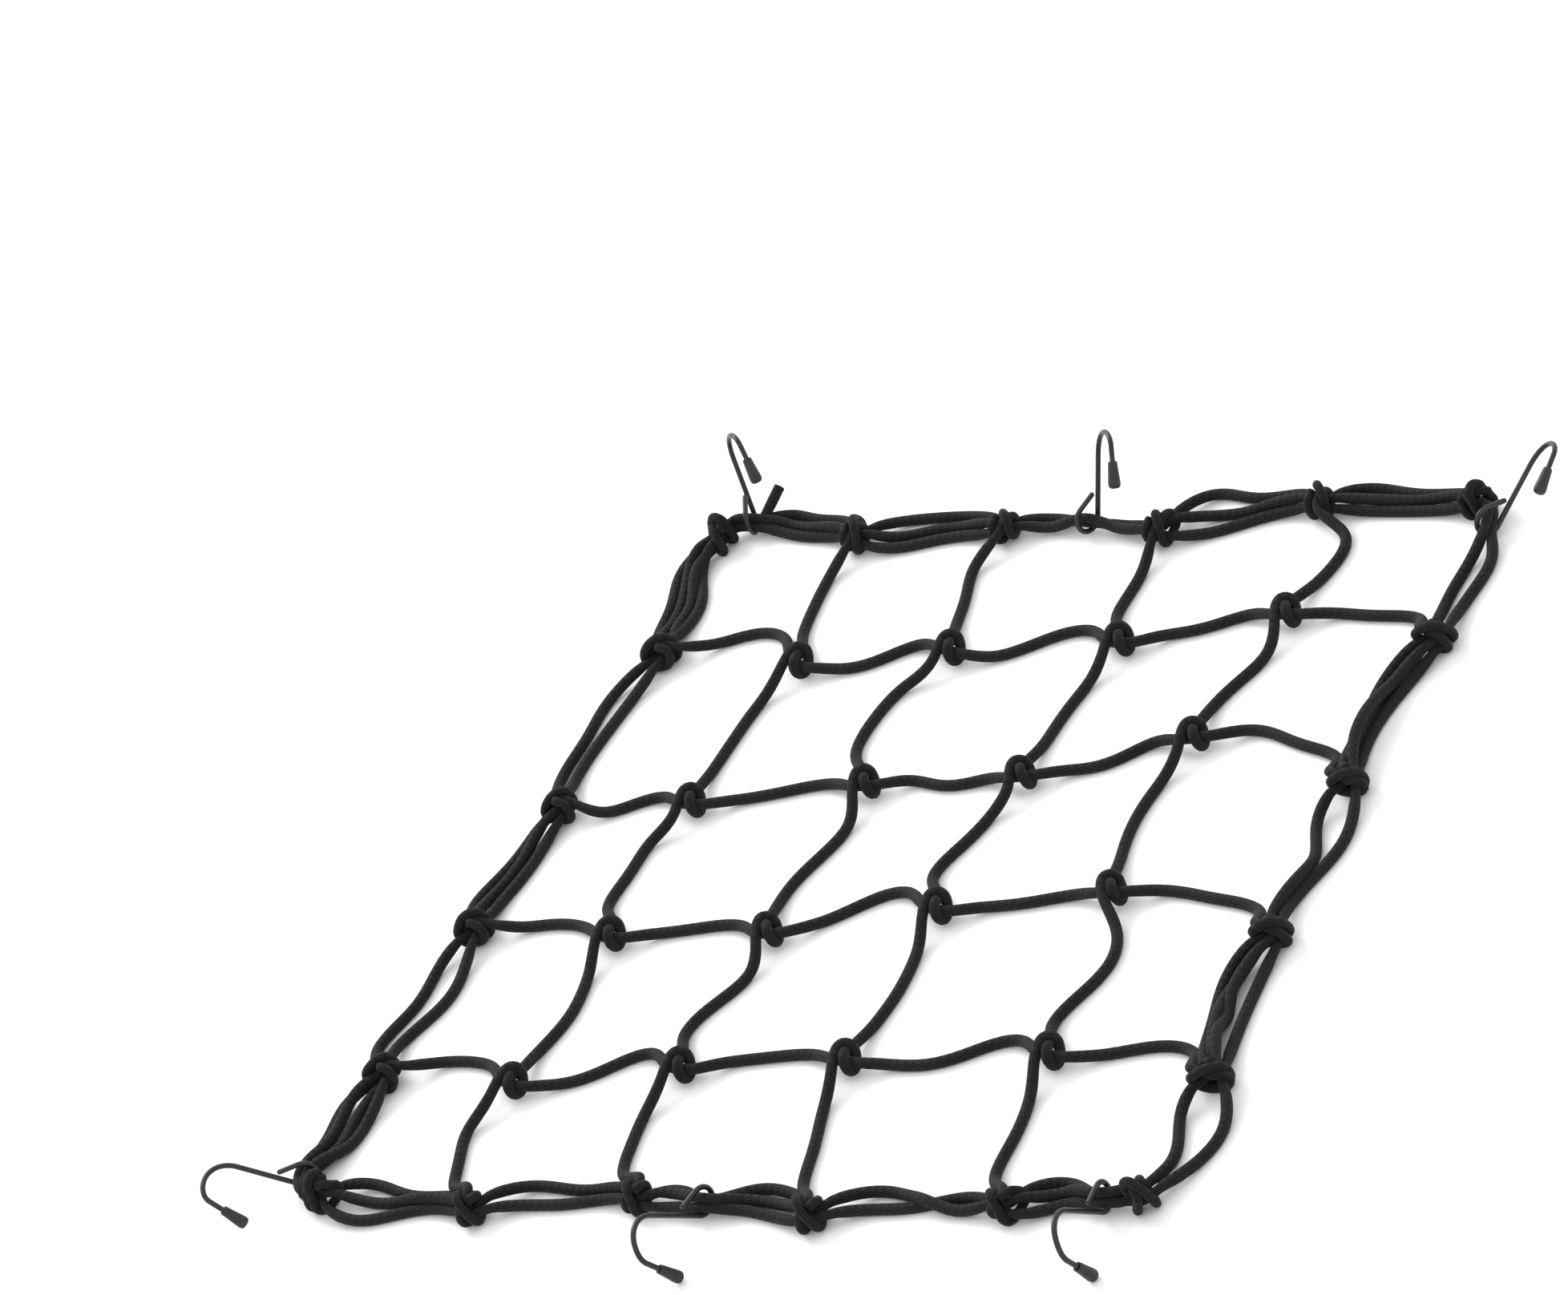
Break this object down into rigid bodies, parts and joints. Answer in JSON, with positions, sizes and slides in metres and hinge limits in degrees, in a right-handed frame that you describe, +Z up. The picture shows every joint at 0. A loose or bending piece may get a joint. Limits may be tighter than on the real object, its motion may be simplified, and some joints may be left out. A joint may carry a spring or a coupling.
{
  "type": "luggage net",
  "caption": "Knotted elastic cord net with square meshes, a border of bundled cords and bent wire hooks with moulded caps, lying flat.",
  "frame": {"origin": "on the surface the net lies on, under the middle of its bounding box with the hooks", "axes": "+X along the front border to the right, +Y towards the back border, +Z up from the surface"},
  "size_m": [0.4522, 0.4462, 0.0455],
  "materials": {
    "cord": "black braided sheath over elastic, matt",
    "wire": "black coated wire, satin",
    "cap": "black moulded plastic, satin"
  },
  "bodies": {
    "root": {"net": "cord", "hook_wire_front_left": "wire", "hook_wire_front_middle": "wire", "hook_wire_front_right": "wire", "hook_wire_back_left": "wire", "hook_wire_back_middle": "wire", "hook_wire_back_right": "wire", "hook_cap_front_left": "cap", "hook_cap_front_middle": "cap", "hook_cap_front_right": "cap", "hook_cap_back_left": "cap", "hook_cap_back_middle": "cap", "hook_cap_back_right": "cap"}
  },
  "joints": []
}
